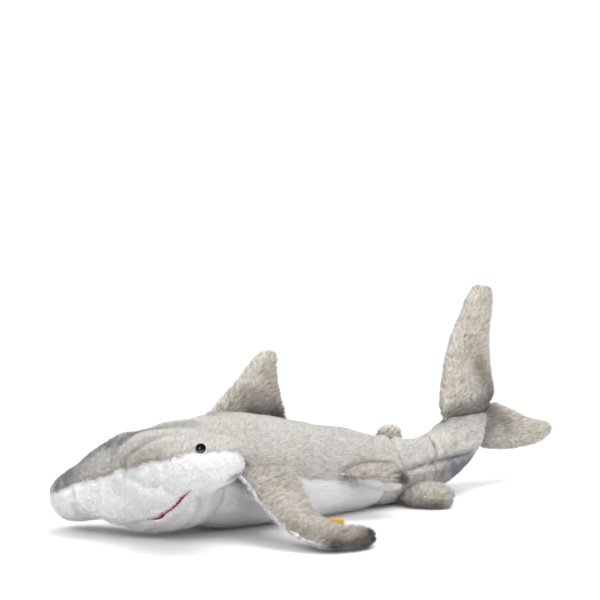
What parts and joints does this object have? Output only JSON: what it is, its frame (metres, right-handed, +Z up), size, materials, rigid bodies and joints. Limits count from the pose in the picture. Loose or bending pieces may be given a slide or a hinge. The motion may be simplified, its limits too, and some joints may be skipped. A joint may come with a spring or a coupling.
{
  "type": "plush shark",
  "caption": "Soft plush hammerhead shark lying on its belly, with a white underside, a red mouth and fins and a tail that bend at their seams.",
  "frame": {"origin": "centre of the box around the toy, on the floor it lies on", "axes": "+Z up, the nose points to -X, the toy's left side is towards -Y"},
  "size_m": [0.6479, 0.353, 0.2245],
  "materials": {
    "plush_grey": "short combed pile plush",
    "plush_white": "short dense pile plush",
    "mouth_red": "flat woven lining",
    "stuffing": "polyester fibre fill",
    "eye_black": "polished dome",
    "eye_white": "satin ring",
    "washer": "moulded",
    "label": "woven tape"
  },
  "bodies": {
    "trunk": {"head_top_panel": "plush_grey", "snout_panel": "plush_white", "left_lobe_underside": "plush_white", "right_lobe_underside": "plush_white", "lower_jaw_panel": "plush_white", "mouth_lining": "mouth_red", "head_stuffing": "stuffing", "left_back_panel": "plush_grey", "right_back_panel": "plush_grey", "belly_panel": "plush_white", "vent_panel": "plush_grey", "body_stuffing": "stuffing", "left_eye": "eye_black", "left_eye_ring": "eye_white", "left_eye_washer": "washer", "right_eye": "eye_black", "right_eye_ring": "eye_white", "right_eye_washer": "washer"},
    "tail": {"tail_upper_panel": "plush_grey", "tail_lower_panel": "plush_grey", "tail_stuffing": "stuffing"},
    "dorsal": {"dorsal_left_panel": "plush_grey", "dorsal_right_panel": "plush_grey", "dorsal_stuffing": "stuffing"},
    "second_dorsal": {"second_dorsal_left_panel": "plush_grey", "second_dorsal_right_panel": "plush_grey", "second_dorsal_stuffing": "stuffing"},
    "caudal_upper": {"caudal_upper_left_panel": "plush_grey", "caudal_upper_right_panel": "plush_grey", "caudal_upper_stuffing": "stuffing"},
    "caudal_lower": {"caudal_lower_left_panel": "plush_grey", "caudal_lower_right_panel": "plush_grey", "caudal_lower_stuffing": "stuffing"},
    "left_pectoral": {"left_pectoral_top_panel": "plush_grey", "left_pectoral_bottom_panel": "plush_white", "left_pectoral_stuffing": "stuffing", "woven_label": "label"},
    "right_pectoral": {"right_pectoral_top_panel": "plush_grey", "right_pectoral_bottom_panel": "plush_white", "right_pectoral_stuffing": "stuffing"},
    "left_pelvic": {"left_pelvic_top_panel": "plush_grey", "left_pelvic_bottom_panel": "plush_white", "left_pelvic_stuffing": "stuffing"},
    "right_pelvic": {"right_pelvic_top_panel": "plush_grey", "right_pelvic_bottom_panel": "plush_white", "right_pelvic_stuffing": "stuffing"},
    "anal": {"anal_top_panel": "plush_grey", "anal_bottom_panel": "plush_grey", "anal_stuffing": "stuffing"}
  },
  "joints": [
    {"name": "tail_bend", "type": "hinge", "parent": "trunk", "child": "tail", "pos_m": [0.087, -0.00498, 0.03525], "axis": [0, 0.2672, 0.9636], "range_deg": [-18, 18], "stiffness_Nm_per_rad": 1.2},
    {"name": "dorsal_flop", "type": "hinge", "parent": "trunk", "child": "dorsal", "pos_m": [-0.146, 0.01413, 0.10415], "axis": [0.9898, -0.0381, -0.1376], "range_deg": [-25, 25], "stiffness_Nm_per_rad": 0.25},
    {"name": "second_dorsal_flop", "type": "hinge", "parent": "trunk", "child": "second_dorsal", "pos_m": [0.045, 0.00478, 0.07042], "axis": [0.9941, -0.0289, -0.1041], "range_deg": [-20, 20], "stiffness_Nm_per_rad": 0.05},
    {"name": "caudal_upper_flop", "type": "hinge", "parent": "tail", "child": "caudal_upper", "pos_m": [0.173, 0.00878, 0.08487], "axis": [0.9939, 0.0295, 0.1064], "range_deg": [-22, 22], "stiffness_Nm_per_rad": 0.6},
    {"name": "caudal_lower_flop", "type": "hinge", "parent": "tail", "child": "caudal_lower", "pos_m": [0.20175, 0.00291, 0.06367], "axis": [0.5436, 0.2243, 0.8088], "range_deg": [-22, 22], "stiffness_Nm_per_rad": 0.3},
    {"name": "left_pectoral_flap", "type": "hinge", "parent": "trunk", "child": "left_pectoral", "pos_m": [-0.19, -0.059, 0.05], "axis": [-0.9991, -0.0294, 0.0294], "range_deg": [-8, 40], "stiffness_Nm_per_rad": 0.5},
    {"name": "right_pectoral_flap", "type": "hinge", "parent": "trunk", "child": "right_pectoral", "pos_m": [-0.19, 0.0605, 0.0255], "axis": [0.9995, -0.0294, -0.0147], "range_deg": [-8, 40], "stiffness_Nm_per_rad": 0.5},
    {"name": "left_pelvic_flap", "type": "hinge", "parent": "trunk", "child": "left_pelvic", "pos_m": [-0.0545, -0.049, 0.03825], "axis": [-0.9861, -0.1038, 0.1297], "range_deg": [-18, 22], "stiffness_Nm_per_rad": 0.08},
    {"name": "right_pelvic_flap", "type": "hinge", "parent": "trunk", "child": "right_pelvic", "pos_m": [-0.0545, 0.05125, 0.018], "axis": [0.9922, -0.1131, -0.0522], "range_deg": [-18, 22], "stiffness_Nm_per_rad": 0.08},
    {"name": "anal_flap", "type": "hinge", "parent": "trunk", "child": "anal", "pos_m": [0.046, -0.031, 0.0095], "axis": [-0.9927, -0.0236, -0.1182], "range_deg": [-12, 25], "stiffness_Nm_per_rad": 0.08}
  ]
}
